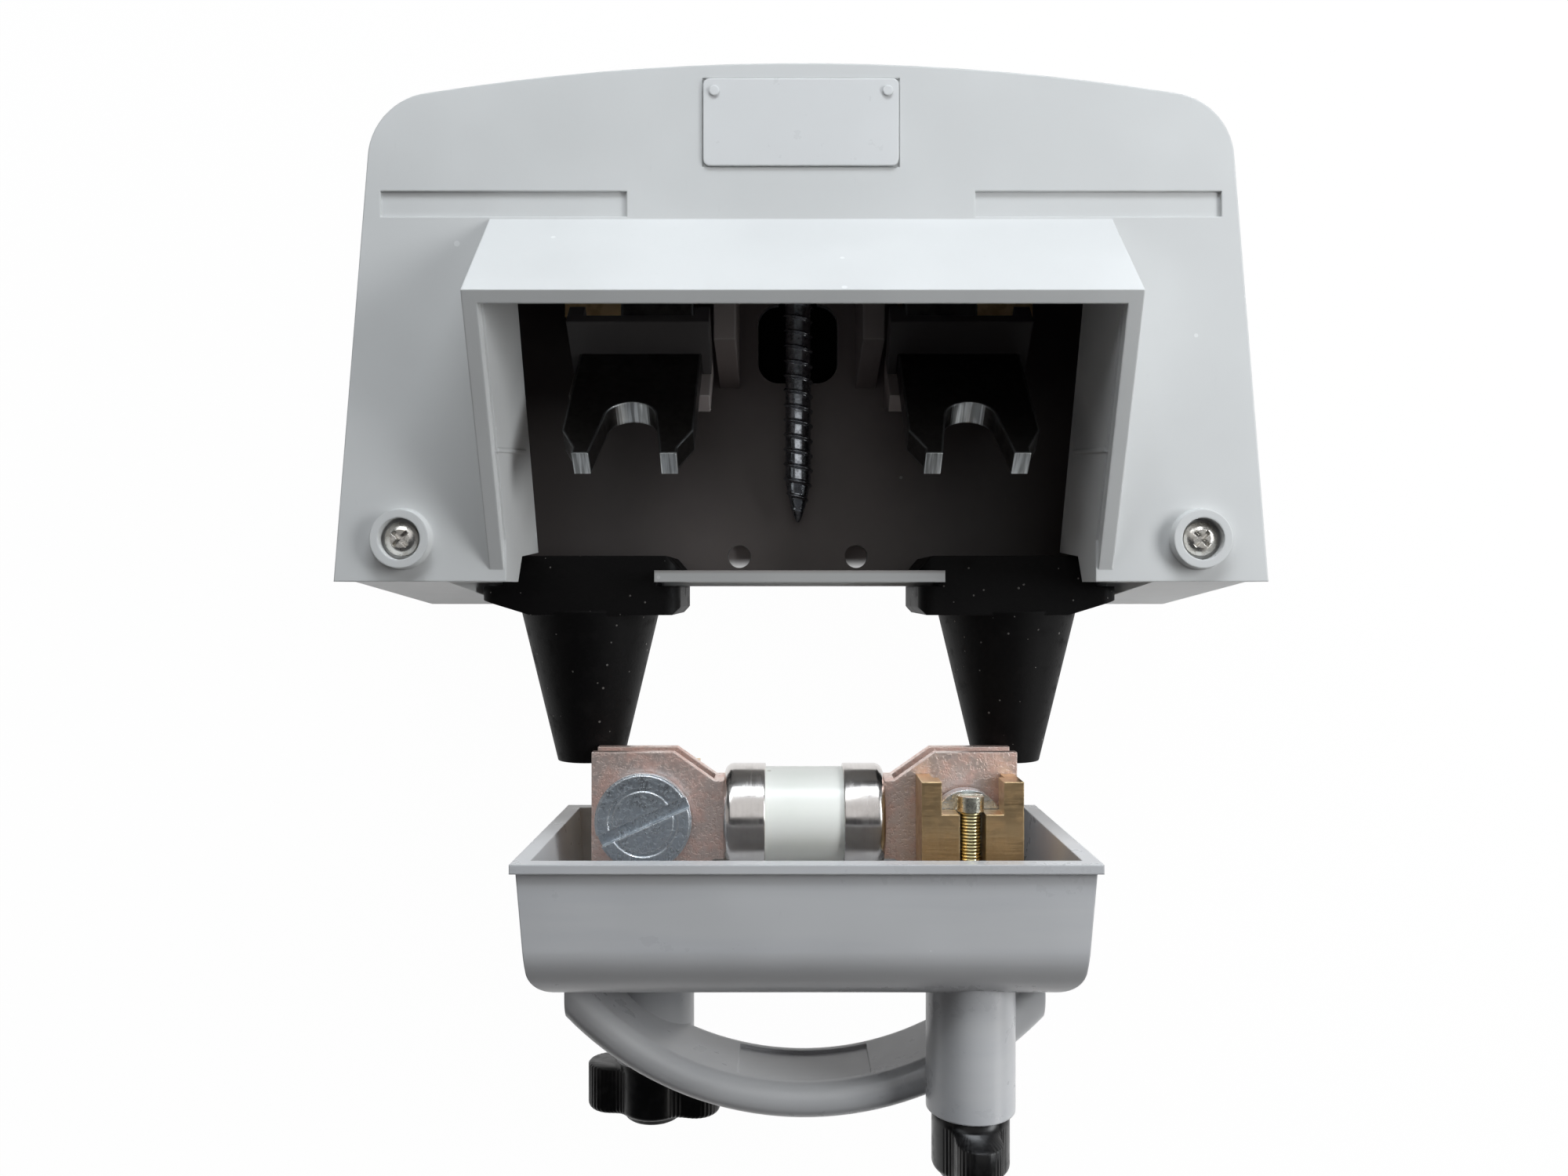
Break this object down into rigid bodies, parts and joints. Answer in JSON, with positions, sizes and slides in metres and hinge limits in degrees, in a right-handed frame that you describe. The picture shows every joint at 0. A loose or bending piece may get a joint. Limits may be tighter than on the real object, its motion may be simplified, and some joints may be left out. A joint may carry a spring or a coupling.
{
  "type": "pole-mounted low-voltage fuse cut-out",
  "caption": "Grey moulded fuse cut-out for a pole: hooded base with fork contacts and rubber cable glands, and its withdrawn carrier with a tagged cartridge fuse link and wing knobs.",
  "frame": {"origin": "the place of the fixing screw in the top of the keyhole slot, in the plane of the mounting back", "axes": "+X to the right, +Y up the pole, +Z out of the mounting back towards the cover"},
  "size_m": [0.22, 0.2681, 0.0887],
  "materials": {
    "grey_plastic": "satin",
    "plate_plastic": "satin",
    "dark_plastic": "matte",
    "stainless": "polished",
    "brass": "brushed",
    "zinc_steel": "bright zinc",
    "black_oxide": "black oxide",
    "ceramic": "glazed ceramic",
    "silver_strip": "satin",
    "rubber": "matte",
    "tinned_copper": "dull tinned",
    "nickel_cap": "satin nickel",
    "tinned_tag": "tin plated",
    "yellow_zinc": "yellow zinc",
    "knob_plastic": "gloss"
  },
  "bodies": {
    "base": {"back_box": "grey_plastic", "inner_walls": "grey_plastic", "front_cover": "grey_plastic", "rating_plate": "plate_plastic", "plate_pins": "plate_plastic", "cover_screws": "stainless", "screw_inserts": "brass", "gland_left": "rubber", "gland_right": "rubber", "fork_contact_left": "tinned_copper", "fork_contact_right": "tinned_copper", "contact_shrouds": "dark_plastic", "terminal_block_left": "brass", "terminal_block_right": "brass", "contact_bolts": "zinc_steel", "grub_screws": "zinc_steel", "block_screws": "zinc_steel", "coach_screw": "black_oxide"},
    "carrier": {"carrier_body": "grey_plastic", "fuse_barrel": "ceramic", "fuse_cap_left": "nickel_cap", "fuse_cap_right": "nickel_cap", "fuse_tag_left": "tinned_tag", "fuse_tag_right": "tinned_tag", "fuse_element": "silver_strip", "clamp_bolt_left": "zinc_steel", "clamp_bolt_right": "zinc_steel", "clamp_nut_left": "zinc_steel", "clamp_nut_right": "zinc_steel"},
    "knob_left_body": {"knob_left": "knob_plastic", "spindle_left": "yellow_zinc"},
    "knob_right_body": {"knob_right": "knob_plastic", "spindle_right": "yellow_zinc"},
    "wedge_left_body": {"wedge_block_left": "brass"},
    "wedge_right_body": {"wedge_block_right": "brass"}
  },
  "joints": [
    {"name": "carrier_lift", "type": "slide", "parent": "base", "child": "carrier", "axis": [0, 0, 1], "range_m": [0, 0.12]},
    {"name": "knob_left_turn", "type": "hinge", "parent": "carrier", "child": "knob_left_body", "pos_m": [-0.0398, -0.2114, 0.02], "axis": [0, 1, 0], "range_deg": [0, 1440]},
    {"name": "knob_right_turn", "type": "hinge", "parent": "carrier", "child": "knob_right_body", "pos_m": [0.0422, -0.2114, 0.051], "axis": [0, 1, 0], "range_deg": [0, 1440]},
    {"name": "wedge_left_draw", "type": "slide", "parent": "carrier", "child": "wedge_left_body", "axis": [0, 1, 0], "range_m": [-0.0032, 0]},
    {"name": "wedge_right_draw", "type": "slide", "parent": "carrier", "child": "wedge_right_body", "axis": [0, 1, 0], "range_m": [-0.0032, 0]}
  ],
  "couplings": [
    {"joint": "knob_left_turn", "follows": "wedge_left_draw", "rad_per_m": -7854},
    {"joint": "knob_right_turn", "follows": "wedge_right_draw", "rad_per_m": -7854}
  ]
}
